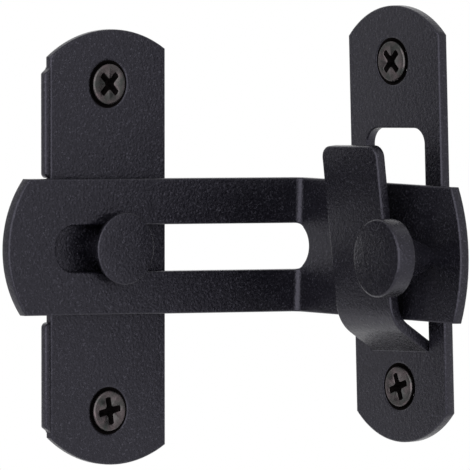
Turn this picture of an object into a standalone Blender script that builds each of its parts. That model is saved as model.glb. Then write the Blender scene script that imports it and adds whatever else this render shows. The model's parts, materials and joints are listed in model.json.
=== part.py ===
"""Right-angle flip latch for a door or gate.

A slotted bar turns and slides on a headed stud in the base plate. Its bent leg
drops behind the tongue of a keeper plate that stands square to the base plate.

Frame: the origin is on the stud's axis, on the back face of the base plate.
+X runs along the bar to the keeper, -Y points away from the door, +Z is up.
Each plate is drawn flat in its own XZ plane, with its front face at local y = 0
looking along -Y, and an empty then carries it and its screws to their place.
"""
import math

import bmesh
import bpy
from mathutils import Vector

MM = 0.001

# Stock and clearances
BASE_THICKNESS = 1.5 * MM
KEEPER_THICKNESS = 2.1 * MM
BAR_THICKNESS = 2.1 * MM
PLAY = 0.3 * MM
EDGE_CHAMFER = 0.2 * MM
ARC_STEP = math.radians(7.5)

# Base plate
BASE_WIDTH = 27.1 * MM
BASE_HEIGHT = 80.0 * MM
BASE_END_RADIUS = 23.7 * MM
BASE_OFFSET = 0.1 * MM
BASE_UPPER_CROWN = 0.6 * MM
BASE_LOWER_CROWN = 1.8 * MM
LIP_START = 13.2 * MM
LIP_END = 32.4 * MM
LIP_OUTREACH = 1.6 * MM
LIP_THICKNESS = 1.2 * MM
LIP_HEIGHT = 0.4 * MM

# Keeper plate and its tongue
KEEPER_WIDTH = 25.5 * MM
KEEPER_HEIGHT = 80.6 * MM
KEEPER_END_RADIUS = 17.5 * MM
KEEPER_FACE = 48.2 * MM
KEEPER_FORWARD = 26.7 * MM
KEEPER_RAISE = 3.65 * MM
KEEPER_LEAN = math.radians(2.0)
WINDOW_WIDTH = 16.1 * MM
WINDOW_TOP = 17.7 * MM
WINDOW_BOTTOM = -24.7 * MM
WINDOW_CORNER = 3.0 * MM
TONGUE_WIDTH = 15.5 * MM
TONGUE_CORNER = 2.2 * MM
TONGUE_TOP = 14.8 * MM
TONGUE_REACH = 8.7 * MM
TONGUE_SLOPE = math.radians(60.0)
TONGUE_LEAN = math.radians(5.4)
ROOT_BEND_RADIUS = 1.5 * MM
HOOK_BEND_RADIUS = 5.0 * MM

# Bar, drawn flat along +X from the stud and then bent once
BAR_HEIGHT = 24.9 * MM
BAR_RISE = 0.3 * MM
BAR_TAIL = 25.5 * MM
BAR_TAIL_RADIUS = 19.7 * MM
BAR_TIP_RADIUS = 33.0 * MM
BAR_TIP_CROWN = 2.0 * MM
BAR_DROOP = math.radians(1.7)
LEG_FACE = 43.4 * MM
LEG_LENGTH = 45.9 * MM
LEG_BEND = math.radians(90.0)
BEND_INNER_RADIUS = 1.2 * MM
SLOT_HALF_HEIGHT = 4.3 * MM
SLOT_TAIL = 14.4 * MM
SLOT_PAST_BEND = 1.5 * MM
BAR_FRONT = BASE_THICKNESS + LIP_HEIGHT + PLAY + BAR_THICKNESS

# Stud
STUD_HEAD_RADIUS = 6.6 * MM
STUD_BACK_RADIUS = 5.7 * MM
STUD_HEAD_THICKNESS = 2.2 * MM
STUD_NECK_RADIUS = SLOT_HALF_HEIGHT - PLAY
STUD_PIP_RADIUS = 1.75 * MM
STUD_PIP_LENGTH = 0.6 * MM

# Grip knob on the leg
KNOB_RADIUS = 7.15 * MM
KNOB_THICKNESS = 4.0 * MM
KNOB_STAND = 12.4 * MM
KNOB_NECK_RADIUS = 4.9 * MM
KNOB_FOOT_RADIUS = 2.0 * MM
KNOB_ALONG = 37.5 * MM
KNOB_DROP = 0.4 * MM
KNOB_SKEW = math.radians(5.0)
KNOB_PIP_RADIUS = 1.3 * MM
KNOB_PIP_LENGTH = 0.8 * MM

# Countersunk screws
SCREW_SPACING = 60.0 * MM
SCREW_HEAD_RADIUS = 4.0 * MM
SCREW_LENGTH = 12.0 * MM
SCREW_CORE_RADIUS = 1.35 * MM
SCREW_THREAD_RADIUS = 1.9 * MM
SCREW_PITCH = 1.4 * MM
SCREW_TIP_LENGTH = 3.2 * MM
SCREW_HEAD_CONE = 1.9 * MM
RECESS_SPAN = 4.4 * MM
RECESS_WIDTH = 1.1 * MM
RECESS_DEPTH = 1.3 * MM
HOLE_RADIUS = SCREW_HEAD_RADIUS + PLAY
ROUND_SEGMENTS = 32

POWDER_COAT = (0.021, 0.020, 0.024, 1.0)
BLACK_OXIDE = (0.030, 0.026, 0.026, 1.0)


# ---------------------------------------------------------------- scene and materials
def clear_scene():
    for obj in list(bpy.data.objects):
        bpy.data.objects.remove(obj)


def make_material(name, colour, roughness, metallic):
    material = bpy.data.materials.new(name)
    material.use_nodes = True
    shader = material.node_tree.nodes["Principled BSDF"]
    shader.inputs["Base Color"].default_value = colour
    shader.inputs["Roughness"].default_value = roughness
    shader.inputs["Metallic"].default_value = metallic
    material.diffuse_color = colour
    return material


def make_empty(name, location=(0, 0, 0), rotation=(0, 0, 0), parent=None):
    empty = bpy.data.objects.new(name, None)
    empty.location = location
    empty.rotation_euler = rotation
    empty.parent = parent
    bpy.context.collection.objects.link(empty)
    return empty


def make_object(name, bm, material, parent=None, location=(0, 0, 0), rotation=(0, 0, 0)):
    bmesh.ops.recalc_face_normals(bm, faces=bm.faces)
    mesh = bpy.data.meshes.new(name)
    bm.to_mesh(mesh)
    bm.free()
    mesh.shade_smooth()
    mesh.set_sharp_from_angle(angle=math.radians(35))
    mesh.materials.append(material)
    obj = bpy.data.objects.new(name, mesh)
    obj.location = location
    obj.rotation_euler = rotation
    obj.parent = parent
    bpy.context.collection.objects.link(obj)
    return obj


def cut(target, cutter):
    cutter.hide_render = True
    cutter.display_type = "WIRE"
    modifier = target.modifiers.new("cut_" + cutter.name, "BOOLEAN")
    modifier.operation = "DIFFERENCE"
    modifier.solver = "EXACT"
    modifier.object = cutter


# ---------------------------------------------------------------- outlines
def arc(centre, radius, start, end):
    steps = max(2, math.ceil(abs(end - start) / ARC_STEP))
    points = []
    for index in range(steps + 1):
        angle = start + (end - start) * index / steps
        points.append((centre[0] + radius * math.cos(angle), centre[1] + radius * math.sin(angle)))
    return points


def bowed_end(top, half_width, radius, crown_shift=0.0):
    """Arc across a plate's upper end, right to left, with its crown at height top."""
    right = math.asin((half_width - crown_shift) / radius)
    left = math.asin((half_width + crown_shift) / radius)
    centre = (crown_shift, top - radius)
    return arc(centre, radius, math.pi / 2 - right, math.pi / 2 + left)


def plate_outline(width, height, end_radius, upper_crown=0.0, lower_crown=0.0):
    """Upright plate with two bowed ends, anticlockwise from the upper right corner."""
    upper = bowed_end(height / 2, width / 2, end_radius, upper_crown)
    lower = bowed_end(height / 2, width / 2, end_radius, lower_crown)
    return upper + [(x, -z) for x, z in reversed(lower)]


def circle(centre, radius):
    points = []
    for index in range(ROUND_SEGMENTS):
        angle = 2 * math.pi * index / ROUND_SEGMENTS
        points.append((centre[0] + radius * math.cos(angle), centre[1] + radius * math.sin(angle)))
    return points


def slot_outline(left, right, half_height):
    """Slot with half-round ends between two outermost points on its middle line."""
    right_end = arc((right - half_height, 0), half_height, -math.pi / 2, math.pi / 2)
    left_end = arc((left + half_height, 0), half_height, math.pi / 2, 3 * math.pi / 2)
    return right_end + left_end


def rounded_top(half_width, top, radius):
    """Right and left upper corners of a tab, each with the same radius."""
    right = arc((half_width - radius, top - radius), radius, 0, math.pi / 2)
    left = arc((radius - half_width, top - radius), radius, math.pi / 2, math.pi)
    return right + left


# ---------------------------------------------------------------- sheet metal
def add_loop(bm, points):
    verts = [bm.verts.new((x, 0, z)) for x, z in points]
    return [bm.edges.new((verts[i - 1], verts[i])) for i in range(len(verts))]


def make_sheet(outline, openings, thickness):
    """Flat sheet in the XZ plane from y = 0 (front) to y = thickness (back)."""
    bm = bmesh.new()
    edges = add_loop(bm, outline)
    for opening in openings:
        edges += add_loop(bm, opening)
    bmesh.ops.triangle_fill(bm, use_beauty=True, edges=edges, normal=(0, -1, 0))
    result = bmesh.ops.extrude_face_region(bm, geom=bm.faces[:])
    back = [item for item in result["geom"] if isinstance(item, bmesh.types.BMVert)]
    bmesh.ops.translate(bm, verts=back, vec=(0, thickness, 0))
    bmesh.ops.recalc_face_normals(bm, faces=bm.faces)
    return bm


def countersink(bm, centre, thickness):
    """Narrow a round hole towards the back, so that its wall is a 90 degree cone."""
    for vert in bm.verts:
        offset = Vector((vert.co.x - centre[0], vert.co.z - centre[1]))
        if vert.co.y > thickness / 2 and offset.length < HOLE_RADIUS * 1.01:
            narrow = offset * (HOLE_RADIUS - thickness) / HOLE_RADIUS
            vert.co.x = centre[0] + narrow.x
            vert.co.z = centre[1] + narrow.y


def split_for_bends(bm, axis, start, sections):
    """Cut the flat sheet across at each station where a bend facet begins or ends."""
    station = start
    for length, turn in sections:
        steps = max(1, math.ceil(abs(turn) / ARC_STEP))
        for index in range(steps):
            point = axis * (station + length * index / steps)
            geometry = bm.verts[:] + bm.edges[:] + bm.faces[:]
            bmesh.ops.bisect_plane(bm, geom=geometry, plane_co=point, plane_no=axis, dist=1e-7)
        station += length
    bmesh.ops.triangulate(bm, faces=bm.faces)


def follow(sections, station):
    """Distance along, distance forward and heading at a station on a bent middle line."""
    along = min(station, 0.0)
    forward = 0.0
    heading = 0.0
    remaining = max(station, 0.0)
    for length, turn in sections:
        step = min(remaining, length)
        end = heading + turn * step / length
        if turn:
            radius = length / turn
            along += radius * (math.sin(end) - math.sin(heading))
            forward += radius * (math.cos(heading) - math.cos(end))
        else:
            along += math.cos(heading) * step
            forward += math.sin(heading) * step
        heading = end
        remaining -= step
    return along, forward, heading


def bend_sheet(bm, axis, start, sections, thickness):
    """Bend a flat sheet towards its front face, along an axis of its own plane."""
    split_for_bends(bm, axis, start, sections)
    for vert in bm.verts:
        distance = vert.co.dot(axis)
        offset = thickness / 2 - vert.co.y
        along, forward, heading = follow(sections, distance - start)
        along -= offset * math.sin(heading)
        forward += offset * math.cos(heading)
        vert.co += axis * (start + along - distance)
        vert.co.y = thickness / 2 - forward


def turned(profile):
    """Solid of revolution about the Y axis from (radius, y) points, front to back."""
    bm = bmesh.new()
    rings = []
    for radius, y in profile:
        rings.append([bm.verts.new((x, y, z)) for x, z in circle((0, 0), radius)])
    for front, back in zip(rings, rings[1:]):
        for index in range(ROUND_SEGMENTS):
            bm.faces.new((front[index - 1], front[index], back[index], back[index - 1]))
    bm.faces.new(rings[0])
    bm.faces.new(rings[-1])
    return bm


# ---------------------------------------------------------------- base plate
def make_lip(name, sign, material, parent):
    """Low flange folded forward from the plate's outer edge, above or below the bar."""
    edge = -BASE_WIDTH / 2
    outer = edge - LIP_OUTREACH
    inner = outer + LIP_THICKNESS
    sink = 0.1 * BASE_THICKNESS
    fold = 0.6 * BASE_THICKNESS
    section = [(edge + sink, sink), (inner, sink), (inner, -LIP_HEIGHT), (outer, -LIP_HEIGHT)]
    section += arc((outer + fold, BASE_THICKNESS - sink - fold), fold, math.pi, math.pi / 2)
    section.append((edge + sink, BASE_THICKNESS - sink))
    bm = bmesh.new()
    verts = [bm.verts.new((x, y, sign * LIP_START)) for x, y in section]
    bm.faces.new(verts)
    result = bmesh.ops.extrude_face_region(bm, geom=bm.faces[:])
    far = [item for item in result["geom"] if isinstance(item, bmesh.types.BMVert)]
    bmesh.ops.translate(bm, verts=far, vec=(0, 0, sign * (LIP_END - LIP_START)))
    lip = make_object(name, bm, material, parent)
    lip.hide_render = True
    lip.display_type = "WIRE"
    return lip


def make_base_plate(material, parent):
    outline = plate_outline(
        BASE_WIDTH, BASE_HEIGHT, BASE_END_RADIUS, BASE_UPPER_CROWN, BASE_LOWER_CROWN
    )
    centres = [(0, SCREW_SPACING / 2), (0, -SCREW_SPACING / 2)]
    holes = [circle(centre, HOLE_RADIUS) for centre in centres]
    bm = make_sheet(outline, holes, BASE_THICKNESS)
    for centre in centres:
        countersink(bm, centre, BASE_THICKNESS)
    plate = make_object("base_plate", bm, material, parent)
    for label, sign in (("lip_upper", 1), ("lip_lower", -1)):
        modifier = plate.modifiers.new(label, "BOOLEAN")
        modifier.operation = "UNION"
        modifier.solver = "EXACT"
        modifier.object = make_lip(label, sign, material, parent)
    depth = STUD_PIP_LENGTH + PLAY
    pocket = turned([(STUD_PIP_RADIUS + PLAY, -depth), (STUD_PIP_RADIUS + PLAY, depth)])
    cut(plate, make_object("stud_pocket", pocket, material, parent, location=(-BASE_OFFSET, 0, 0)))
    return plate


# ---------------------------------------------------------------- keeper plate
def tongue_sections():
    """Bends and straights of the tongue, from the foot of the window to its tip."""
    bends_out = ROOT_BEND_RADIUS * (1 - math.cos(TONGUE_SLOPE))
    bends_out += HOOK_BEND_RADIUS * (math.cos(TONGUE_LEAN) - math.cos(TONGUE_SLOPE))
    slope_length = (TONGUE_REACH - bends_out) / math.sin(TONGUE_SLOPE)
    rise = ROOT_BEND_RADIUS * math.sin(TONGUE_SLOPE) + slope_length * math.cos(TONGUE_SLOPE)
    rise += HOOK_BEND_RADIUS * (math.sin(TONGUE_SLOPE) - math.sin(TONGUE_LEAN))
    upright = (TONGUE_TOP - WINDOW_BOTTOM - rise) / math.cos(TONGUE_LEAN)
    back_turn = TONGUE_SLOPE - TONGUE_LEAN
    return [
        (ROOT_BEND_RADIUS * TONGUE_SLOPE, TONGUE_SLOPE),
        (slope_length, 0.0),
        (HOOK_BEND_RADIUS * back_turn, -back_turn),
        (upright, 0.0),
    ]


def make_tongue():
    sections = tongue_sections()
    length = sum(section[0] for section in sections)
    half = TONGUE_WIDTH / 2
    outline = [(-half, WINDOW_BOTTOM), (half, WINDOW_BOTTOM)]
    outline += rounded_top(half, WINDOW_BOTTOM + length, TONGUE_CORNER)
    bm = make_sheet(outline, [], KEEPER_THICKNESS)
    bend_sheet(bm, Vector((0, 0, 1)), WINDOW_BOTTOM, sections, KEEPER_THICKNESS)
    return bm


def weld_at_window_foot(bm):
    """Open the two faces where the tongue meets the foot of its window, and join their edges."""
    reach = TONGUE_WIDTH / 2 * 1.001
    meeting = []
    for face in bm.faces:
        if all(abs(v.co.z - WINDOW_BOTTOM) < 1e-6 and abs(v.co.x) < reach for v in face.verts):
            meeting.append(face)
    bmesh.ops.delete(bm, geom=meeting, context="FACES_ONLY")
    bmesh.ops.remove_doubles(bm, verts=bm.verts, dist=1e-6)


def make_keeper_plate(material, parent):
    half = WINDOW_WIDTH / 2
    window = [(-half, WINDOW_BOTTOM), (-TONGUE_WIDTH / 2, WINDOW_BOTTOM)]
    window += [(TONGUE_WIDTH / 2, WINDOW_BOTTOM), (half, WINDOW_BOTTOM)]
    window += rounded_top(half, WINDOW_TOP, WINDOW_CORNER)
    centres = [(0, SCREW_SPACING / 2), (0, -SCREW_SPACING / 2)]
    openings = [window] + [circle(centre, HOLE_RADIUS) for centre in centres]
    outline = plate_outline(KEEPER_WIDTH, KEEPER_HEIGHT, KEEPER_END_RADIUS)
    bm = make_sheet(outline, openings, KEEPER_THICKNESS)
    for centre in centres:
        countersink(bm, centre, KEEPER_THICKNESS)
    tongue = make_tongue()
    tongue_mesh = bpy.data.meshes.new("tongue")
    tongue.to_mesh(tongue_mesh)
    tongue.free()
    bm.from_mesh(tongue_mesh)
    bpy.data.meshes.remove(tongue_mesh)
    weld_at_window_foot(bm)
    return make_object("keeper_plate", bm, material, parent)


# ---------------------------------------------------------------- bar, stud and knob
def make_latch_bar(material, parent):
    bend_reach = BEND_INNER_RADIUS * math.tan(LEG_BEND / 2)
    bend_start = LEG_FACE - bend_reach
    bend_length = (BEND_INNER_RADIUS + BAR_THICKNESS / 2) * LEG_BEND
    leg_length = LEG_LENGTH - bend_reach
    flat_tip = bend_start + bend_length + leg_length
    half = BAR_HEIGHT / 2
    tail = [(-z, BAR_RISE + x) for x, z in bowed_end(BAR_TAIL, half, BAR_TAIL_RADIUS)]
    tip = [(z, BAR_RISE - x) for x, z in bowed_end(flat_tip, half, BAR_TIP_RADIUS, BAR_TIP_CROWN)]
    slot = slot_outline(-SLOT_TAIL, bend_start + bend_length + SLOT_PAST_BEND, SLOT_HALF_HEIGHT)
    bm = make_sheet(tail + tip, [slot], BAR_THICKNESS)
    sections = [(bend_start, 0.0), (bend_length, LEG_BEND), (leg_length, 0.0)]
    bend_sheet(bm, Vector((1, 0, 0)), 0.0, sections, BAR_THICKNESS)
    bar = make_object("latch_bar", bm, material, parent, location=(0, -BAR_FRONT, 0))
    depth = KNOB_PIP_LENGTH + PLAY
    pocket = turned([(KNOB_PIP_RADIUS + PLAY, -depth), (KNOB_PIP_RADIUS + PLAY, depth)])
    cut(bar, make_object("knob_pocket", pocket, material, parent, KNOB_SEAT, KNOB_TURN))
    return bar


def make_slide_stud(material):
    head_back = -(BAR_FRONT + PLAY)
    head_front = head_back - STUD_HEAD_THICKNESS
    neck_back = -(BASE_THICKNESS + PLAY)
    profile = [
        (STUD_HEAD_RADIUS - EDGE_CHAMFER, head_front),
        (STUD_HEAD_RADIUS, head_front + EDGE_CHAMFER),
        (STUD_HEAD_RADIUS, head_front + 2 * EDGE_CHAMFER),
        (STUD_BACK_RADIUS, head_back),
        (STUD_NECK_RADIUS, head_back),
        (STUD_NECK_RADIUS, neck_back),
        (STUD_PIP_RADIUS, neck_back),
        (STUD_PIP_RADIUS, STUD_PIP_LENGTH - BASE_THICKNESS),
    ]
    return make_object("slide_stud", turned(profile), material)


def make_grip_knob(material, parent):
    profile = [
        (KNOB_RADIUS - EDGE_CHAMFER, -KNOB_STAND),
        (KNOB_RADIUS, -KNOB_STAND + EDGE_CHAMFER),
        (KNOB_RADIUS, -KNOB_STAND + KNOB_THICKNESS - EDGE_CHAMFER),
        (KNOB_RADIUS - EDGE_CHAMFER, -KNOB_STAND + KNOB_THICKNESS),
        (KNOB_NECK_RADIUS, -KNOB_STAND + KNOB_THICKNESS),
        (KNOB_FOOT_RADIUS, -PLAY),
        (KNOB_PIP_RADIUS, -PLAY),
        (KNOB_PIP_RADIUS, KNOB_PIP_LENGTH),
    ]
    return make_object("grip_knob", turned(profile), material, parent, KNOB_SEAT, KNOB_TURN)


# ---------------------------------------------------------------- screws
def thread_profile(start):
    """Ridges of a wood screw's thread, running out towards its point."""
    points = []
    turns = int((SCREW_LENGTH - start) / SCREW_PITCH)
    for turn in range(turns):
        for fraction, radius in ((0.15, SCREW_CORE_RADIUS), (0.5, SCREW_THREAD_RADIUS)):
            y = start + (turn + fraction) * SCREW_PITCH
            taper = min(1.0, (SCREW_LENGTH - y) / SCREW_TIP_LENGTH)
            points.append((radius * taper, y))
    points.append((0.1 * SCREW_CORE_RADIUS, SCREW_LENGTH))
    return points


def make_screw(name, material, parent, centre, turn):
    rim = 0.1 * MM
    neck = SCREW_HEAD_RADIUS - SCREW_HEAD_CONE
    profile = [(SCREW_HEAD_RADIUS - rim, 0.0), (SCREW_HEAD_RADIUS - rim, rim)]
    profile += [(neck, SCREW_HEAD_CONE), (SCREW_CORE_RADIUS, SCREW_HEAD_CONE + rim)]
    profile += thread_profile(SCREW_HEAD_CONE + rim)
    location = (centre[0], 0, centre[1])
    screw = make_object(name, turned(profile), material, parent, location, (0, turn, 0))
    long = RECESS_SPAN / 2
    short = RECESS_WIDTH / 2
    quarter = [(long, -short), (long, short), (short, short)]
    cross = []
    for _arm in range(4):
        cross += quarter
        quarter = [(-z, x) for x, z in quarter]
    recess = make_sheet(cross, [], 2 * RECESS_DEPTH)
    bmesh.ops.translate(recess, verts=recess.verts, vec=(0, -RECESS_DEPTH, 0))
    cut(screw, make_object(name + "_recess", recess, material, parent, location, (0, turn, 0)))
    return screw


# ---------------------------------------------------------------- the latch
KNOB_TURN = (0, 0, -LEG_BEND - KNOB_SKEW)
KNOB_SEAT = (
    LEG_FACE + KNOB_ALONG * math.cos(LEG_BEND),
    -BAR_FRONT - KNOB_ALONG * math.sin(LEG_BEND),
    -KNOB_DROP,
)
UPPER = (0, SCREW_SPACING / 2)
LOWER = (0, -SCREW_SPACING / 2)


def main():
    clear_scene()
    coat = make_material("black_powder_coat", POWDER_COAT, 0.55, 0.0)
    oxide = make_material("black_oxide_steel", BLACK_OXIDE, 0.38, 0.9)

    base = make_empty("base_mounting", (BASE_OFFSET, -BASE_THICKNESS, 0))
    make_base_plate(coat, base)
    make_screw("base_screw_upper", oxide, base, UPPER, math.radians(45))
    make_screw("base_screw_lower", oxide, base, LOWER, math.radians(12))

    place = (KEEPER_FACE, -KEEPER_FORWARD, KEEPER_RAISE)
    keeper = make_empty("keeper_mounting", place, (0, -KEEPER_LEAN, -math.pi / 2))
    make_keeper_plate(coat, keeper)
    make_screw("keeper_screw_upper", oxide, keeper, UPPER, math.radians(45))
    make_screw("keeper_screw_lower", oxide, keeper, LOWER, math.radians(18))

    make_slide_stud(coat)
    swing = make_empty("bar_swing", (0, 0, 0), (0, BAR_DROOP, 0))
    make_latch_bar(coat, swing)
    make_grip_knob(coat, swing)


main()
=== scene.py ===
"""Looks of the right-angle flip latch: finished meshes, materials, studio and camera.

Lengths are in metres. A sheet piece is modelled flat, with its front face at local y = 0
looking along -Y, and then bent. Turned pieces and screws have their axis along local Y.
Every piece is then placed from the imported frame.
"""
import json
import math

import bmesh
import bpy
from mathutils import Euler, Matrix, Vector


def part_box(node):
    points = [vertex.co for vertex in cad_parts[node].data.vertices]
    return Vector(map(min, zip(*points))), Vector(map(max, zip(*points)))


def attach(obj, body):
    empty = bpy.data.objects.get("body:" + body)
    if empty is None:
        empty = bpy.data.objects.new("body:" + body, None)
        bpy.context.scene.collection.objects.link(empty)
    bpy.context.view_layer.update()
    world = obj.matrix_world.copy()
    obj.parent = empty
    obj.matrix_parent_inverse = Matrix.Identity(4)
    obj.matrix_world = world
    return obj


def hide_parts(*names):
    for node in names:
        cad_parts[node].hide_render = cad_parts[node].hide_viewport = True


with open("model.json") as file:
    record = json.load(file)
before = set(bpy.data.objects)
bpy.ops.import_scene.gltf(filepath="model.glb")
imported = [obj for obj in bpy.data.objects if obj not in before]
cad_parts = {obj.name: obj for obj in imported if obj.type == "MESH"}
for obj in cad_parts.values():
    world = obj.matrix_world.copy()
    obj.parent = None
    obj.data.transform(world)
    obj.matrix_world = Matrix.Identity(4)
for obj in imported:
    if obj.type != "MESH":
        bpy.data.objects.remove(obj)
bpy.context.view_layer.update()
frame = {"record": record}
MM = 0.001

# ---------------------------------------------------------------- places read from the frame
JOINTS = {joint["name"]: joint for joint in frame["record"]["behaviour"]["joints"]}
SLIDE_AXIS = Vector(JOINTS["bar_slide"]["axis"])
BAR_DROOP = math.atan2(-SLIDE_AXIS.z, SLIDE_AXIS.x)


def box_centre(node):
    lowest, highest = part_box(node)
    return (Vector(lowest) + Vector(highest)) / 2


SCREW_UPPER = box_centre("keeper_screw_upper")
SCREW_LOWER = box_centre("keeper_screw_lower")
SCREW_LINE = SCREW_UPPER - SCREW_LOWER
KEEPER_LEAN = math.atan2(SCREW_LINE.y, SCREW_LINE.z)
KEEPER_MIDDLE = (SCREW_UPPER + SCREW_LOWER) / 2
KEEPER_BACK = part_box("keeper_plate")[1][0]
BASE_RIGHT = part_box("base_plate")[1][0]

# ---------------------------------------------------------------- sizes
BASE_THICKNESS = 1.5 * MM
KEEPER_THICKNESS = 2.1 * MM
BAR_THICKNESS = 2.1 * MM
EDGE_RADIUS = 0.32 * MM
EDGE_STEPS = 4
EDGE_HOLD = 0.06 * MM
ARC_STEP = math.radians(3.0)
FILLET_STEPS = 6
ROUND_SEGMENTS = 96

BASE_WIDTH = 27.1 * MM
BASE_HEIGHT = 80.0 * MM
BASE_END_RADIUS = 23.7 * MM
BASE_UPPER_CROWN = 0.6 * MM
BASE_LOWER_CROWN = 1.8 * MM
LIP_START = 13.2 * MM
LIP_END = 32.4 * MM
LIP_OUTREACH = 1.6 * MM
LIP_THICKNESS = 1.2 * MM
LIP_HEIGHT = 0.4 * MM
LIP_SINK = 0.15 * MM
LIP_FOLD = 0.9 * MM
LIP_CREST = 0.35 * MM
LIP_NEAR_END = 0.9 * MM
LIP_FAR_END = 1.2 * MM
LIP_FAR_OVERLAP = 0.2 * MM

KEEPER_WIDTH = 25.5 * MM
KEEPER_HEIGHT = 80.6 * MM
KEEPER_END_RADIUS = 17.5 * MM
WINDOW_WIDTH = 16.1 * MM
WINDOW_TOP = 17.7 * MM
WINDOW_BOTTOM = -23.7 * MM
WINDOW_CORNER = 3.0 * MM
TONGUE_WIDTH = 15.5 * MM
TONGUE_CORNER = 2.2 * MM
TONGUE_TOP = 14.8 * MM
TONGUE_REACH = 8.7 * MM
TONGUE_SLOPE = math.radians(57.0)
TONGUE_LEAN = math.radians(5.4)
TONGUE_FOOT = 1.0 * MM
ROOT_BEND_RADIUS = 1.5 * MM
HOOK_BEND_RADIUS = 6.0 * MM

BAR_HEIGHT = 24.9 * MM
BAR_RISE = 0.3 * MM
BAR_TAIL = 25.5 * MM
BAR_TAIL_RADIUS = 19.7 * MM
BAR_TIP_RADIUS = 33.0 * MM
BAR_TIP_CROWN = 2.0 * MM
LEG_FACE = 43.4 * MM
LEG_LENGTH = 45.9 * MM
LEG_BEND = math.radians(90.0)
BEND_INNER_RADIUS = 1.2 * MM
SLOT_HALF_HEIGHT = 4.3 * MM
SLOT_TAIL = 14.4 * MM
SLOT_PAST_BEND = 1.5 * MM
BAR_FRONT = 4.3 * MM

STUD_HEAD_RADIUS = 6.6 * MM
STUD_BACK_RADIUS = 5.7 * MM
STUD_HEAD_THICKNESS = 2.2 * MM
STUD_HEAD_FRONT = 6.8 * MM
STUD_NECK_RADIUS = 4.0 * MM
STUD_EDGE = 0.25 * MM

KNOB_RADIUS = 7.15 * MM
KNOB_THICKNESS = 4.0 * MM
KNOB_STAND = 12.4 * MM
KNOB_NECK_RADIUS = 4.9 * MM
KNOB_FOOT_RADIUS = 2.0 * MM
KNOB_FOOT = 0.5 * MM
KNOB_EDGE = 0.45 * MM
KNOB_NECK_FILLET = 0.5 * MM
KNOB_ALONG = 37.5 * MM
KNOB_DROP = 0.4 * MM
KNOB_SKEW = math.radians(5.0)

SCREW_SPACING = 60.0 * MM
SCREW_LENGTH = 12.0 * MM
BASE_SCREW_PROUD = 0.45 * MM
KEEPER_SCREW_PROUD = 0.32 * MM
KEEPER_HOLE_SHIFT = -0.45 * MM
SCREW_SEGMENTS = 64
SCREW_HEAD_RADIUS = 3.75 * MM
SCREW_HEAD_EDGE = 0.34 * MM
SCREW_SEAT_GAP = 0.08 * MM
SCREW_HEAD_CONE = 1.9 * MM
SCREW_CORE_RADIUS = 1.3 * MM
SCREW_THREAD_RADIUS = 1.85 * MM
SCREW_PITCH = 1.4 * MM
SCREW_RIDGE_SHARE = 0.28
SCREW_BARE_NECK = 0.6 * MM
SCREW_RUN_IN = 0.8 * MM
SCREW_TIP_LENGTH = 3.2 * MM
SCREW_TIP_SHARE = 0.04
THREAD_STEPS = 84
RECESS_SPAN = 4.9 * MM
RECESS_WIDTH = 1.2 * MM
RECESS_DEPTH = 1.5 * MM
RECESS_LIP = 0.07 * MM
HOLE_RADIUS = 4.4 * MM


# ---------------------------------------------------------------- materials
def new_material(name):
    material = bpy.data.materials.new(name)
    material.use_nodes = True
    nodes = material.node_tree.nodes
    return material, nodes, material.node_tree.links, nodes["Principled BSDF"]


def noise(nodes, links, source, scale, detail, roughness=0.5):
    node = nodes.new("ShaderNodeTexNoise")
    node.inputs["Scale"].default_value = scale
    node.inputs["Detail"].default_value = detail
    node.inputs["Roughness"].default_value = roughness
    links.new(source, node.inputs["Vector"])
    return node.outputs["Fac"]


def ramp(nodes, links, source, stops):
    """Colour ramp; each stop is (position, grey or colour)."""
    node = nodes.new("ShaderNodeValToRGB")
    elements = node.color_ramp.elements
    while len(elements) < len(stops):
        elements.new(0.5)
    for element, (position, value) in zip(elements, stops):
        element.position = position
        element.color = (value, value, value, 1) if isinstance(value, float) else (*value, 1)
    links.new(source, node.inputs["Fac"])
    return node.outputs["Color"]


def map_range(nodes, links, source, low, high):
    node = nodes.new("ShaderNodeMapRange")
    node.inputs["To Min"].default_value = low
    node.inputs["To Max"].default_value = high
    links.new(source, node.inputs["Value"])
    return node.outputs["Result"]


def blend(nodes, links, share, first, second):
    """Mix of two colours, each a socket or a constant."""
    mix = nodes.new("ShaderNodeMix")
    mix.data_type = "RGBA"
    for name, colour in (("A", first), ("B", second)):
        target = [socket for socket in mix.inputs if socket.name == name and socket.type == "RGBA"][0]
        if isinstance(colour, tuple):
            target.default_value = colour
        else:
            links.new(colour, target)
    links.new(share, mix.inputs["Factor"])
    return [socket for socket in mix.outputs if socket.type == "RGBA"][0]


def bump(nodes, links, height, distance, strength, below=None):
    node = nodes.new("ShaderNodeBump")
    node.inputs["Distance"].default_value = distance
    node.inputs["Strength"].default_value = strength
    links.new(height, node.inputs["Height"])
    if below is not None:
        links.new(below, node.inputs["Normal"])
    return node.outputs["Normal"]


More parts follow.
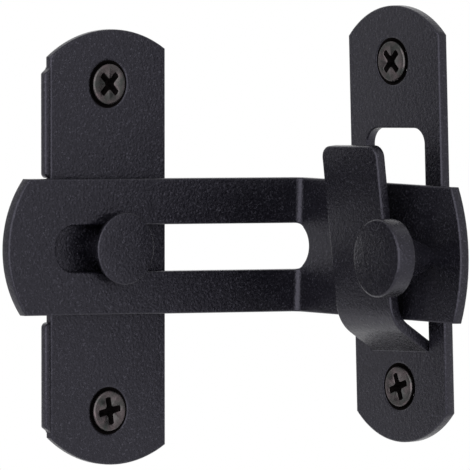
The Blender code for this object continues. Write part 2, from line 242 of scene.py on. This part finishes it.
def powder_coat():
    """Fine sand-texture black powder coat: grain of about 0.5 mm over a softer orange peel."""
    material, nodes, links, shader = new_material("black_powder_coat")
    place = nodes.new("ShaderNodeTexCoord").outputs["Object"]
    patches = noise(nodes, links, place, 90, 3)
    grain = noise(nodes, links, place, 1900, 3, 0.6)
    peel = noise(nodes, links, place, 700, 2)
    fleck = noise(nodes, links, place, 2900, 2, 0.7)
    deep = ramp(nodes, links, grain, [(0.38, (0.0005, 0.0004, 0.0009)), (0.64, (0.0034, 0.0032, 0.0048))])
    pale = ramp(nodes, links, grain, [(0.38, (0.0015, 0.0014, 0.0026)), (0.64, (0.0052, 0.0050, 0.0072))])
    tone = blend(nodes, links, patches, deep, pale)
    fleck_mask = ramp(nodes, links, fleck, [(0.58, 0.0), (0.70, 1.0)])
    tone = blend(nodes, links, fleck_mask, tone, (0.034, 0.033, 0.042, 1))
    links.new(tone, shader.inputs["Base Color"])
    links.new(map_range(nodes, links, grain, 0.18, 0.33), shader.inputs["Roughness"])
    soft = bump(nodes, links, peel, 0.00005, 0.5)
    links.new(bump(nodes, links, grain, 0.00012, 0.9, soft), shader.inputs["Normal"])
    shader.inputs["Metallic"].default_value = 0.0
    shader.inputs["IOR"].default_value = 1.52
    shader.inputs["Specular Tint"].default_value = (0.84, 0.81, 1.0, 1)
    return material


def black_oxide():
    """Satin black-oxide steel, patchy from greenish to pinkish grey."""
    material, nodes, links, shader = new_material("black_oxide_steel")
    place = nodes.new("ShaderNodeTexCoord").outputs["Object"]
    patches = noise(nodes, links, place, 480, 3)
    fine = noise(nodes, links, place, 3200, 3, 0.6)
    tone = ramp(nodes, links, patches, [(0.35, (0.085, 0.092, 0.088)), (0.65, (0.185, 0.150, 0.158))])
    tone = blend(nodes, links, map_range(nodes, links, fine, 0.0, 0.8), tone, (0.022, 0.020, 0.021, 1))
    links.new(tone, shader.inputs["Base Color"])
    links.new(map_range(nodes, links, fine, 0.18, 0.36), shader.inputs["Roughness"])
    links.new(bump(nodes, links, fine, 0.00004, 0.5), shader.inputs["Normal"])
    shader.inputs["Metallic"].default_value = 1.0
    return material


def painted_recess_shade():
    """Painted shade: a dull dark lining of the cross recesses and of the gap between screw head and
    countersink, standing in for the shade that falls there.
    """
    material, nodes, links, shader = new_material("painted_recess_shade")
    place = nodes.new("ShaderNodeTexCoord").outputs["Object"]
    fine = noise(nodes, links, place, 3000, 2)
    tone = ramp(nodes, links, fine, [(0.35, (0.0008, 0.0005, 0.0006)), (0.7, (0.0030, 0.0020, 0.0022))])
    links.new(tone, shader.inputs["Base Color"])
    links.new(map_range(nodes, links, fine, 0.75, 0.95), shader.inputs["Roughness"])
    links.new(bump(nodes, links, fine, 0.00004, 0.5), shader.inputs["Normal"])
    shader.inputs["IOR"].default_value = 1.12
    return material


COAT = powder_coat()
OXIDE = black_oxide()
# The third material is painted shade: a dark colour standing in for shade in recesses, gaps and countersink
# walls.
PAINTED_SHADE = painted_recess_shade()
PAINTED_SHADE_INDEX = 1


# ---------------------------------------------------------------- outlines
def arc(centre, radius, start, end):
    steps = max(2, math.ceil(abs(end - start) / ARC_STEP))
    angles = [start + (end - start) * index / steps for index in range(steps + 1)]
    return [(centre[0] + radius * math.cos(a), centre[1] + radius * math.sin(a)) for a in angles]


def circle(centre, radius):
    angles = [2 * math.pi * index / ROUND_SEGMENTS for index in range(ROUND_SEGMENTS)]
    return [(centre[0] + radius * math.cos(a), centre[1] + radius * math.sin(a)) for a in angles]


def bowed_end(top, half_width, radius, crown_shift=0.0):
    """Arc across a plate's upper end, right to left, with its crown at height top."""
    right = math.asin((half_width - crown_shift) / radius)
    left = math.asin((half_width + crown_shift) / radius)
    return arc((crown_shift, top - radius), radius, math.pi / 2 - right, math.pi / 2 + left)


def plate_outline(width, height, end_radius, upper_crown=0.0, lower_crown=0.0):
    upper = bowed_end(height / 2, width / 2, end_radius, upper_crown)
    lower = bowed_end(height / 2, width / 2, end_radius, lower_crown)
    return upper + [(x, -z) for x, z in reversed(lower)]


def slot_outline(left, right, half_height):
    right_end = arc((right - half_height, 0), half_height, -math.pi / 2, math.pi / 2)
    return right_end + arc((left + half_height, 0), half_height, math.pi / 2, 3 * math.pi / 2)


def rounded_top(half_width, top, radius):
    right = arc((half_width - radius, top - radius), radius, 0, math.pi / 2)
    return right + arc((radius - half_width, top - radius), radius, math.pi / 2, math.pi)


def signed_area(points):
    pairs = zip(points, points[1:] + points[:1])
    return sum(a[0] * b[1] - b[0] * a[1] for a, b in pairs) / 2


def inset(points, distance):
    """Move an anticlockwise outline inwards, keeping its corners mitred."""
    moved = []
    count = len(points)
    for index in range(count):
        here = Vector(points[index])
        before = (here - Vector(points[index - 1])).normalized()
        after = (Vector(points[(index + 1) % count]) - here).normalized()
        left_before = Vector((-before.y, before.x))
        left_after = Vector((-after.y, after.x))
        miter = (left_before + left_after).normalized()
        reach = distance / max(0.3, miter.dot(left_before))
        moved.append(tuple(here + miter * reach))
    return moved


# ---------------------------------------------------------------- sheet metal with rolled edges
def add_ring(bm, points, y):
    return [bm.verts.new((x, y, z)) for x, z in points]


def join(bm, rings):
    """Four-sided faces between each ring of vertices and the next."""
    faces = []
    for front, back in zip(rings, rings[1:]):
        for index in range(len(front)):
            corners = (front[index - 1], front[index], back[index], back[index - 1])
            faces.append(bm.faces.new(corners))
    return faces


def edge_levels(thickness):
    """(inset, depth) pairs across a rounded sheet edge, front to back."""
    levels = [(EDGE_RADIUS + EDGE_HOLD, 0.0)]
    for index in range(EDGE_STEPS + 1):
        angle = math.pi / 2 * index / EDGE_STEPS
        levels.append((EDGE_RADIUS * (1 - math.sin(angle)), EDGE_RADIUS * (1 - math.cos(angle))))
    return levels + [(distance, thickness - depth) for distance, depth in reversed(levels)]


def rolled_wall(bm, points, levels, outward):
    """Skin of one outline's edge; returns its front and back rings."""
    rings = [add_ring(bm, inset(points, distance * outward), depth) for distance, depth in levels]
    join(bm, rings)
    return rings[0], rings[-1]


def cap(bm, rings, facing):
    """Flat face between an outer ring and the rings inside it."""
    edges = []
    for ring in rings:
        for index in range(len(ring)):
            edges.append(bm.edges.get((ring[index - 1], ring[index])))
    bmesh.ops.triangle_fill(bm, use_beauty=True, edges=edges, normal=(0, facing, 0))


def make_sheet(outline, openings, thickness):
    """Closed flat sheet with rounded edges, front face at y = 0 and back at y = thickness."""
    bm = bmesh.new()
    levels = edge_levels(thickness)
    walls = []
    for points, outward in [(outline, 1)] + [(opening, -1) for opening in openings]:
        if signed_area(points) < 0:
            points = points[::-1]
        walls.append(rolled_wall(bm, points, levels, outward))
    cap(bm, [wall[0] for wall in walls], -1)
    cap(bm, [wall[1] for wall in walls], 1)
    bmesh.ops.recalc_face_normals(bm, faces=bm.faces)
    return bm


def countersink(bm, centre, thickness):
    """Narrow a round hole towards the back into a 90 degree cone, and give its wall painted shade for the
    shadow of the screw head.
    """
    reach = HOLE_RADIUS + EDGE_RADIUS + 1.5 * EDGE_HOLD
    front_skin = 0.02 * thickness
    wall_reach = HOLE_RADIUS + 0.02 * MM
    for vert in bm.verts:
        offset = Vector((vert.co.x - centre[0], vert.co.z - centre[1]))
        if offset.length < reach and vert.co.y > front_skin:
            narrowed = offset * (1 - vert.co.y / HOLE_RADIUS)
            vert.co.x = centre[0] + narrowed.x
            vert.co.z = centre[1] + narrowed.y
    # Faces of the countersink wall get the painted shade material, standing in for the screw head's shadow.
    for face in bm.faces:
        spread = [math.hypot(vert.co.x - centre[0], vert.co.z - centre[1]) for vert in face.verts]
        if max(spread) < wall_reach:
            face.material_index = PAINTED_SHADE_INDEX


def follow(sections, station):
    """Distance along, distance forward and heading at a station on a bent middle line."""
    along = min(station, 0.0)
    forward = 0.0
    heading = 0.0
    remaining = max(station, 0.0)
    for length, turn in sections:
        step = min(remaining, length)
        end = heading + turn * step / length
        if turn:
            radius = length / turn
            along += radius * (math.sin(end) - math.sin(heading))
            forward += radius * (math.cos(heading) - math.cos(end))
        else:
            along += math.cos(heading) * step
            forward += math.sin(heading) * step
        heading = end
        remaining -= step
    return along, forward, heading


def bend_sheet(bm, axis, start, sections, thickness):
    """Bend a flat sheet towards its front face, along an axis of its own plane."""
    station = start
    for length, turn in sections:
        steps = max(1, math.ceil(abs(turn) / ARC_STEP))
        for index in range(steps):
            point = axis * (station + length * index / steps)
            geometry = bm.verts[:] + bm.edges[:] + bm.faces[:]
            bmesh.ops.bisect_plane(bm, geom=geometry, plane_co=point, plane_no=axis, dist=1e-7)
        station += length
    bmesh.ops.triangulate(bm, faces=[face for face in bm.faces if len(face.verts) > 4])
    for vert in bm.verts:
        distance = vert.co.dot(axis)
        offset = thickness / 2 - vert.co.y
        along, forward, heading = follow(sections, distance - start)
        along -= offset * math.sin(heading)
        forward += offset * math.cos(heading)
        vert.co += axis * (start + along - distance)
        vert.co.y = thickness / 2 - forward


def turned(profile):
    """Solid of revolution about the Y axis from (radius, y) points, front to back."""
    bm = bmesh.new()
    rings = [add_ring(bm, circle((0, 0), radius), y) for radius, y in profile]
    join(bm, rings)
    bm.faces.new(rings[0])
    bm.faces.new(rings[-1])
    bmesh.ops.recalc_face_normals(bm, faces=bm.faces)
    return bm


def fillet(centre, radius, start, end):
    """(radius, y) points of a turned profile's rounded corner."""
    angles = [start + (end - start) * index / FILLET_STEPS for index in range(FILLET_STEPS + 1)]
    return [(centre[0] + radius * math.cos(a), centre[1] - radius * math.sin(a)) for a in angles]


def hole_centres(across):
    return [(across, SCREW_SPACING / 2), (across, -SCREW_SPACING / 2)]


def finish_piece(name, bm, material, place, body, *nodes):
    mesh = bpy.data.meshes.new(name)
    bm.to_mesh(mesh)
    bm.free()
    mesh.transform(place)
    mesh.shade_smooth()
    mesh.set_sharp_from_angle(angle=math.radians(50))
    mesh.materials.append(material)
    # Pieces with faces marked for painted shade get the painted shade material as their second material.
    if any(face.material_index for face in mesh.polygons):
        mesh.materials.append(PAINTED_SHADE)
    piece = bpy.data.objects.new(name, mesh)
    bpy.context.scene.collection.objects.link(piece)
    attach(piece, body)
    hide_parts(*nodes)


BASE_PLACE = Matrix.Translation((BASE_RIGHT - BASE_WIDTH / 2, -BASE_THICKNESS, 0))
KEEPER_FACE = KEEPER_BACK - KEEPER_THICKNESS
KEEPER_ORIGIN = Vector((KEEPER_FACE, KEEPER_MIDDLE.y, KEEPER_MIDDLE.z))
KEEPER_TURN = Euler((0, -KEEPER_LEAN, -math.pi / 2)).to_matrix().to_4x4()
KEEPER_PLACE = Matrix.Translation(KEEPER_ORIGIN) @ KEEPER_TURN
BAR_TILT = Matrix.Rotation(BAR_DROOP, 4, "Y")
BAR_PLACE = BAR_TILT @ Matrix.Translation((0, -BAR_FRONT, 0))
KNOB_SEAT = Vector((LEG_FACE, -BAR_FRONT, -KNOB_DROP))
KNOB_SEAT += KNOB_ALONG * Vector((math.cos(LEG_BEND), -math.sin(LEG_BEND), 0))
KNOB_TURN = Matrix.Rotation(-LEG_BEND - KNOB_SKEW, 4, "Z")
KNOB_PLACE = BAR_TILT @ Matrix.Translation(KNOB_SEAT) @ KNOB_TURN


# ---------------------------------------------------------------- base plate
QUARTER = [math.pi / 2 * index / 5 for index in range(6)]


def quarter_round(start, reach_x, reach_y, x_first):
    """Points of a rounded corner that leaves its start along x, or else along y."""
    points = []
    for angle in QUARTER:
        fast, slow = math.sin(angle), 1 - math.cos(angle)
        share_x, share_y = (fast, slow) if x_first else (slow, fast)
        points.append((start[0] + reach_x * share_x, start[1] + reach_y * share_y))
    return points


def lip_section(outreach, rise):
    """Closed (x, y) section of a lip that reaches and rises by the given shares of its full size."""
    edge = -BASE_WIDTH / 2
    outer = edge - LIP_OUTREACH
    inner = outer + LIP_THICKNESS
    back = BASE_THICKNESS - LIP_SINK / 2
    section = [(edge + 2 * LIP_SINK, LIP_SINK)]
    section += quarter_round((inner + LIP_CREST, LIP_SINK), -LIP_CREST, -LIP_CREST, True)
    section += quarter_round((inner, LIP_CREST - LIP_HEIGHT), -LIP_CREST, -LIP_CREST, False)
    section += quarter_round((outer + LIP_CREST, -LIP_HEIGHT), -LIP_CREST, LIP_CREST, True)
    section += quarter_round((outer, back - LIP_FOLD), LIP_FOLD, LIP_FOLD, False)
    section.append((edge + 2 * LIP_SINK, back))
    return [(edge + (x - edge) * outreach if x < edge else x, y * rise if y < 0 else y) for x, y in section]


def add_lip(bm, sign):
    """Low flange along the plate's outer edge, rounded next to the bar and run out at its far end."""
    stations = []
    for angle in QUARTER:
        z = LIP_START + LIP_NEAR_END * (1 - math.cos(angle))
        stations.append((z, 0.25 + 0.75 * math.sin(angle), math.sin(angle)))
    far_steps = 6
    for index in range(far_steps + 1):
        share = index / far_steps
        ease = 1 - share * share * (3 - 2 * share)
        stations.append((LIP_END - LIP_FAR_OVERLAP + LIP_FAR_END * share, 0.05 + 0.95 * ease, ease))
    rings = []
    for z, outreach, rise in stations:
        rings.append([bm.verts.new((x, y, sign * z)) for x, y in lip_section(outreach, rise)])
    faces = [bm.faces.new(rings[0]), bm.faces.new(rings[-1])] + join(bm, rings)
    bmesh.ops.recalc_face_normals(bm, faces=faces)


def build_base_plate():
    outline = plate_outline(BASE_WIDTH, BASE_HEIGHT, BASE_END_RADIUS, BASE_UPPER_CROWN, BASE_LOWER_CROWN)
    centres = hole_centres(0)
    bm = make_sheet(outline, [circle(centre, HOLE_RADIUS) for centre in centres], BASE_THICKNESS)
    for centre in centres:
        countersink(bm, centre, BASE_THICKNESS)
    add_lip(bm, 1)
    add_lip(bm, -1)
    finish_piece("base_plate_coated", bm, COAT, BASE_PLACE, "base", "base_plate")


# ---------------------------------------------------------------- keeper plate
def tongue_sections():
    """Bends and straights of the tongue, from the foot of the window to its tip."""
    bends_out = ROOT_BEND_RADIUS * (1 - math.cos(TONGUE_SLOPE))
    bends_out += HOOK_BEND_RADIUS * (math.cos(TONGUE_LEAN) - math.cos(TONGUE_SLOPE))
    slope_length = (TONGUE_REACH - bends_out) / math.sin(TONGUE_SLOPE)
    rise = ROOT_BEND_RADIUS * math.sin(TONGUE_SLOPE) + slope_length * math.cos(TONGUE_SLOPE)
    rise += HOOK_BEND_RADIUS * (math.sin(TONGUE_SLOPE) - math.sin(TONGUE_LEAN))
    upright = (TONGUE_TOP - WINDOW_BOTTOM - rise) / math.cos(TONGUE_LEAN)
    back_turn = TONGUE_SLOPE - TONGUE_LEAN
    return [
        (ROOT_BEND_RADIUS * TONGUE_SLOPE, TONGUE_SLOPE),
        (slope_length, 0.0),
        (HOOK_BEND_RADIUS * back_turn, -back_turn),
        (upright, 0.0),
    ]


def build_flat_keeper():
    """The keeper plate without its tongue: window, countersunk holes and bowed ends."""
    half = WINDOW_WIDTH / 2
    window = [(-half, WINDOW_BOTTOM), (half, WINDOW_BOTTOM)] + rounded_top(half, WINDOW_TOP, WINDOW_CORNER)
    centres = hole_centres(KEEPER_HOLE_SHIFT)
    openings = [window] + [circle(centre, HOLE_RADIUS) for centre in centres]
    outline = plate_outline(KEEPER_WIDTH, KEEPER_HEIGHT, KEEPER_END_RADIUS)
    plate = make_sheet(outline, openings, KEEPER_THICKNESS)
    for centre in centres:
        countersink(plate, centre, KEEPER_THICKNESS)

    # The window's lower edge is raised until it lies inside the root of the tongue.
    edge_reach = EDGE_RADIUS + 2 * EDGE_HOLD
    for vert in plate.verts:
        if abs(vert.co.x) < half + edge_reach and abs(vert.co.z - WINDOW_BOTTOM) < edge_reach:
            vert.co.z += 2 * EDGE_RADIUS
    return plate


def build_tongue():
    """The bent tongue, with a short foot that lies just inside the plate."""
    sections = tongue_sections()
    length = sum(section[0] for section in sections)
    half = TONGUE_WIDTH / 2
    foot = WINDOW_BOTTOM - TONGUE_FOOT
    middle = KEEPER_THICKNESS / 2
    outline = [(-half, foot), (half, foot)] + rounded_top(half, WINDOW_BOTTOM + length, TONGUE_CORNER)
    tongue = make_sheet(outline, [], KEEPER_THICKNESS)
    for vert in tongue.verts:
        if vert.co.z < WINDOW_BOTTOM - TONGUE_FOOT / 2:
            vert.co.y = middle + (vert.co.y - middle) * 0.97
    bend_sheet(tongue, Vector((0, 0, 1)), WINDOW_BOTTOM, sections, KEEPER_THICKNESS)
    return tongue


def build_keeper_plate():
    plate = build_flat_keeper()
    tongue = build_tongue()
    mesh = bpy.data.meshes.new("tongue")
    tongue.to_mesh(mesh)
    tongue.free()
    plate.from_mesh(mesh)
    bpy.data.meshes.remove(mesh)
    finish_piece("keeper_plate_coated", plate, COAT, KEEPER_PLACE, "base", "keeper_plate")


# ---------------------------------------------------------------- bar, stud and knob
def build_latch_bar():
    bend_reach = BEND_INNER_RADIUS * math.tan(LEG_BEND / 2)
    bend_start = LEG_FACE - bend_reach
    bend_length = (BEND_INNER_RADIUS + BAR_THICKNESS / 2) * LEG_BEND
    leg_length = LEG_LENGTH - bend_reach
    flat_tip = bend_start + bend_length + leg_length
    half = BAR_HEIGHT / 2
    tail = [(-z, BAR_RISE + x) for x, z in bowed_end(BAR_TAIL, half, BAR_TAIL_RADIUS)]
    tip = [(z, BAR_RISE - x) for x, z in bowed_end(flat_tip, half, BAR_TIP_RADIUS, BAR_TIP_CROWN)]
    slot = slot_outline(-SLOT_TAIL, bend_start + bend_length + SLOT_PAST_BEND, SLOT_HALF_HEIGHT)
    bm = make_sheet(tail + tip, [slot], BAR_THICKNESS)
    sections = [(bend_start, 0.0), (bend_length, LEG_BEND), (leg_length, 0.0)]
    bend_sheet(bm, Vector((1, 0, 0)), 0.0, sections, BAR_THICKNESS)
    finish_piece("latch_bar_coated", bm, COAT, BAR_PLACE, "bar", "latch_bar")


def build_slide_stud():
    head_back = STUD_HEAD_THICKNESS - STUD_HEAD_FRONT
    edge_centre = (STUD_HEAD_RADIUS - STUD_EDGE, STUD_EDGE - STUD_HEAD_FRONT)
    foot = -BASE_THICKNESS - 0.02 * MM
    profile = [(0.4 * STUD_HEAD_RADIUS, -STUD_HEAD_FRONT)]
    profile += fillet(edge_centre, STUD_EDGE, math.pi / 2, 0)
    profile.append((STUD_HEAD_RADIUS, 2 * STUD_EDGE - STUD_HEAD_FRONT))
    profile += [(STUD_BACK_RADIUS, head_back), (STUD_NECK_RADIUS, head_back), (STUD_NECK_RADIUS, foot)]
    finish_piece("slide_stud_coated", turned(profile), COAT, Matrix.Identity(4), "stud", "slide_stud")


def build_grip_knob():
    front = -KNOB_STAND
    back = front + KNOB_THICKNESS
    rim = KNOB_RADIUS - KNOB_EDGE
    chamfer = 0.3 * KNOB_NECK_FILLET
    profile = [(0.4 * KNOB_RADIUS, front)]
    profile += fillet((rim, front + KNOB_EDGE), KNOB_EDGE, math.pi / 2, 0)
    profile += fillet((rim, back - KNOB_EDGE), KNOB_EDGE, 0, -math.pi / 2)
    profile += [(KNOB_NECK_RADIUS + KNOB_NECK_FILLET, back), (KNOB_NECK_RADIUS + chamfer, back + chamfer)]
    profile.append((KNOB_NECK_RADIUS, back + KNOB_NECK_FILLET))
    profile += [(KNOB_FOOT_RADIUS, -KNOB_FOOT), (KNOB_FOOT_RADIUS, KNOB_FOOT)]
    finish_piece("grip_knob_coated", turned(profile), COAT, KNOB_PLACE, "bar", "grip_knob")


# ---------------------------------------------------------------- screws
def cross_ring(span, width, fillet_radius):
    """Anticlockwise outline of a Phillips cross with rounded inner corners."""
    corner_steps = 4
    centre = width / 2 + fillet_radius
    ring = []
    for arm in range(4):
        turn = math.pi / 2 * arm
        points = [(span, -0.5 * width), (span + 0.12 * width, 0.0), (span, 0.5 * width)]
        for index in range(corner_steps + 1):
            angle = 1.5 * math.pi - math.pi / 2 * index / corner_steps
            x = centre + fillet_radius * math.cos(angle)
            points.append((x, centre + fillet_radius * math.sin(angle)))
        for x, z in points:
            ring.append((x * math.cos(turn) - z * math.sin(turn), x * math.sin(turn) + z * math.cos(turn)))
    return ring


def shank_radius(angle, y):
    """Wood screw: a helical ridge on a core that runs out to a gimlet point."""
    phase = (y / SCREW_PITCH - angle / (2 * math.pi)) % 1.0
    ridge = max(0.0, 1 - abs(phase - 0.5) / SCREW_RIDGE_SHARE)
    start = min(1.0, max(0.0, (y - SCREW_HEAD_CONE - SCREW_BARE_NECK) / SCREW_RUN_IN))
    point = max(SCREW_TIP_SHARE, min(1.0, (SCREW_LENGTH - y) / SCREW_TIP_LENGTH))
    return (SCREW_CORE_RADIUS + (SCREW_THREAD_RADIUS - SCREW_CORE_RADIUS) * ridge * start) * point


def screw_skin(bm, proud):
    """Rings from the edge of the head's face, round its rim and down the cone to the point."""
    angles = [2 * math.pi * index / SCREW_SEGMENTS for index in range(SCREW_SEGMENTS)]

    def ring(radius_at, y):
        return add_ring(bm, [(radius_at(a) * math.cos(a), radius_at(a) * math.sin(a)) for a in angles], y)

    shoulder = proud + HOLE_RADIUS - SCREW_HEAD_RADIUS - SCREW_SEAT_GAP
    cone_end = shoulder + SCREW_HEAD_CONE
    edge_centre = (SCREW_HEAD_RADIUS - SCREW_HEAD_EDGE, SCREW_HEAD_EDGE)
    profile = [(SCREW_HEAD_RADIUS - 1.3 * SCREW_HEAD_EDGE, 0.0)]
    profile += fillet(edge_centre, SCREW_HEAD_EDGE, math.pi / 2, 0.0)
    profile += [(SCREW_HEAD_RADIUS, shoulder), (SCREW_HEAD_RADIUS - SCREW_HEAD_CONE, cone_end)]
    rings = [ring(lambda angle, fixed=radius: fixed, y) for radius, y in profile]
    thread_start = cone_end + SCREW_HEAD_EDGE
    for index in range(THREAD_STEPS + 1):
        y = thread_start + (SCREW_LENGTH - proud - thread_start) * index / THREAD_STEPS
        rings.append(ring(lambda angle, depth=y + proud: shank_radius(angle, depth), y))
    # The head's side and cone, between the rim and the thread, get painted shade for the shadowed gap under
    # the head.
    for face in join(bm, rings):
        if SCREW_HEAD_EDGE < face.calc_center_median().y < cone_end:
            face.material_index = PAINTED_SHADE_INDEX
    bm.faces.new(rings[-1])
    return rings[0]


def screw_recess(bm):
    """Tapered cross recess with a rounded lip; returns the ring where it meets the head's face."""
    levels = [
        (RECESS_SPAN / 2 + RECESS_LIP, RECESS_WIDTH + 2 * RECESS_LIP, 0.45 * MM, 0.0),
        (RECESS_SPAN / 2, RECESS_WIDTH, 0.45 * MM, RECESS_LIP),
        (RECESS_SPAN * 0.36, RECESS_WIDTH * 0.70, 0.18 * MM, 0.78 * RECESS_DEPTH),
        (RECESS_SPAN * 0.16, RECESS_WIDTH * 0.5, 0.04 * MM, RECESS_DEPTH),
    ]
    walls = [add_ring(bm, cross_ring(span, width, corner), depth) for span, width, corner, depth in levels]
    # The recess walls and floor get painted shade, standing in for the shade inside the cross.
    lining = join(bm, walls[1:])
    lining.append(bm.faces.new(walls[-1]))
    for face in lining:
        face.material_index = PAINTED_SHADE_INDEX
    join(bm, walls[:2])
    return walls[0]


def build_screw(name, node, place, proud, turn):
    bm = bmesh.new()
    head_ring = screw_skin(bm, proud)
    cap(bm, [head_ring, screw_recess(bm)], -1)
    bmesh.ops.recalc_face_normals(bm, faces=bm.faces)
    at = place @ Matrix.Translation((0, -proud, 0)) @ Matrix.Rotation(turn, 4, "Y")
    finish_piece(name, bm, OXIDE, at, "base", node)


def build_screw_pair(plate, place, across, proud, upper_turn, lower_turn):
    """The two screws of a plate, each with its cross turned by so many degrees."""
    for side, (x, z), turn in zip(("upper", "lower"), hole_centres(across), (upper_turn, lower_turn)):
        seat = place @ Matrix.Translation((x, 0, z))
        build_screw(f"screw_{plate}_{side}", f"{plate}_screw_{side}", seat, proud, math.radians(turn))


# ---------------------------------------------------------------- the latch
build_base_plate()
build_keeper_plate()
build_latch_bar()
build_slide_stud()
build_grip_knob()
build_screw_pair("base", BASE_PLACE, 0, BASE_SCREW_PROUD, 45, -10)
build_screw_pair("keeper", KEEPER_PLACE, KEEPER_HOLE_SHIFT, KEEPER_SCREW_PROUD, 45, -18)


# ---------------------------------------------------------------- studio
SIDE_LIGHT = 0.64
FRONT_LIGHT = 1.6
BACK_LEFT_LIGHT = 0.98
FRONT_LEFT = (-0.64, -0.77, 0.0)
BACK_LEFT = (-0.77, 0.64, 0.0)


def add_floor():
    bm = bmesh.new()
    bmesh.ops.create_grid(bm, x_segments=8, y_segments=8, size=0.8)
    mesh = bpy.data.meshes.new("floor")
    bm.to_mesh(mesh)
    bm.free()
    floor = bpy.data.objects.new("floor", mesh)
    floor.location = (0, 0, -0.35)
    bpy.context.scene.collection.objects.link(floor)
    material, nodes, links, shader = new_material("pale_floor")
    place = nodes.new("ShaderNodeTexCoord").outputs["Object"]
    tone = ramp(nodes, links, noise(nodes, links, place, 6, 2), [(0.3, 0.86), (0.7, 0.90)])
    links.new(tone, shader.inputs["Base Color"])
    shader.inputs["Roughness"].default_value = 0.9
    mesh.materials.append(material)


def add_world():
    """White studio: full from behind, brightest from the front left and dimmer in between."""
    world = bpy.data.worlds.new("white_studio")
    world.use_nodes = True
    nodes = world.node_tree.nodes
    links = world.node_tree.links
    direction = nodes.new("ShaderNodeTexCoord").outputs["Generated"]

    def towards(axis, start, end, low, high):
        dot = nodes.new("ShaderNodeVectorMath")
        dot.operation = "DOT_PRODUCT"
        dot.inputs[1].default_value = axis
        links.new(direction, dot.inputs[0])
        reach = nodes.new("ShaderNodeMapRange")
        reach.interpolation_type = "SMOOTHSTEP"
        for name, value in (("From Min", start), ("From Max", end), ("To Min", low), ("To Max", high)):
            reach.inputs[name].default_value = value
        links.new(dot.outputs["Value"], reach.inputs["Value"])
        return reach.outputs["Result"]

    def combine(operation, first, second):
        node = nodes.new("ShaderNodeMath")
        node.operation = operation
        links.new(first, node.inputs[0])
        links.new(second, node.inputs[1])
        return node.outputs["Value"]

    sides = towards(FRONT_LEFT, -0.9, -0.3, 1.0, SIDE_LIGHT)
    front = towards(FRONT_LEFT, 0.2, 0.95, 0.0, FRONT_LIGHT)
    left = towards(BACK_LEFT, 0.1, 0.9, 1.0, BACK_LEFT_LIGHT)
    background = nodes["Background"]
    background.inputs["Color"].default_value = (1, 1, 1, 1)
    links.new(combine("MULTIPLY", combine("ADD", sides, front), left), background.inputs["Strength"])
    bpy.context.scene.world = world


def add_light(name, location, size, power):
    light = bpy.data.lights.new(name, "AREA")
    light.shape = "DISK"
    light.size = size
    light.energy = power
    lamp = bpy.data.objects.new(name, light)
    lamp.location = location
    lamp.rotation_euler = (-Vector(location)).to_track_quat("-Z", "Y").to_euler()
    lamp.visible_camera = False
    bpy.context.scene.collection.objects.link(lamp)


def add_camera():
    azimuth = math.radians(-39.8)
    elevation = math.radians(3.45)
    distance = 1.994
    across = 23.28 * MM
    above = 2.31 * MM
    right = Vector((math.cos(azimuth), math.sin(azimuth), 0))
    level_back = Vector((math.sin(azimuth), -math.cos(azimuth), 0))
    back = level_back * math.cos(elevation) + Vector((0, 0, math.sin(elevation)))
    up = back.cross(right)
    camera = bpy.data.cameras.new("camera")
    camera.sensor_width = 36
    camera.lens = 833.2
    camera.clip_start = 0.01
    viewer = bpy.data.objects.new("camera", camera)
    viewer.location = Vector((0, -BASE_THICKNESS, 0)) + right * across + up * above + back * distance
    viewer.rotation_euler = (-back).to_track_quat("-Z", "Y").to_euler()
    bpy.context.scene.collection.objects.link(viewer)
    bpy.context.scene.camera = viewer


add_floor()
add_world()
add_light("soft_left", (-0.9, 0.1, 0.5), 0.6, 0.5)
add_camera()
bpy.context.scene.view_settings.view_transform = "Standard"
